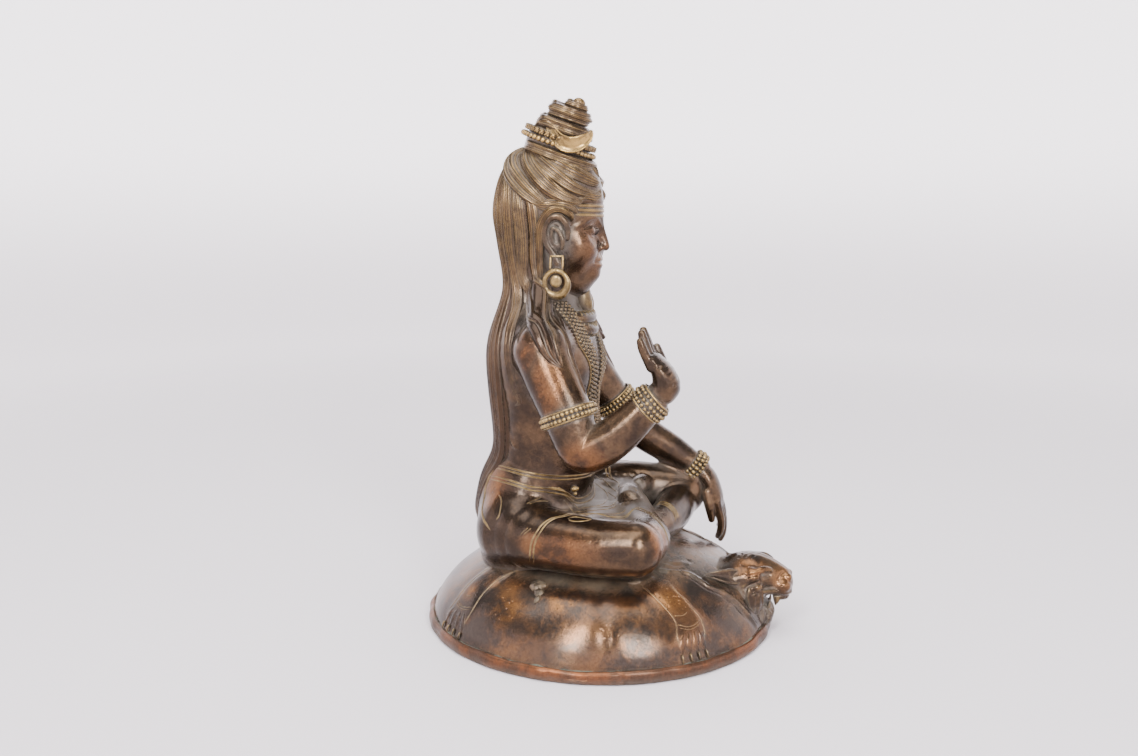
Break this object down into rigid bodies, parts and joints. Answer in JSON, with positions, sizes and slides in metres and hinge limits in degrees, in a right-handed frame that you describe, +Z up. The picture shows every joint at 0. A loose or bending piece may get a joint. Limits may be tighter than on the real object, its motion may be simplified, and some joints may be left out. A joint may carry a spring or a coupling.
{
  "type": "seated bronze figure",
  "caption": "Cast bronze figure seated cross-legged on a domed tiger-skin mound, right hand raised, left hand over the knee, on a copper sole plate; a standing ornament.",
  "frame": {"origin": "centre of the sole plate's flat underside", "axes": "+Z up to the topknot; the figure faces -Y; its right side is towards -X"},
  "size_m": [0.182, 0.2021, 0.28],
  "materials": {
    "figure_bronze": "glossy dark brown patina, worn to gold on ridges, grey dust in hollows",
    "mound_bronze": "satin brown patina mottled with chestnut and grey",
    "sole_copper": "hammered red copper, dull, grey-green dirt in the joint"
  },
  "bodies": {
    "root": {"figure": "figure_bronze", "mound": "mound_bronze", "sole_plate": "sole_copper"}
  },
  "joints": []
}
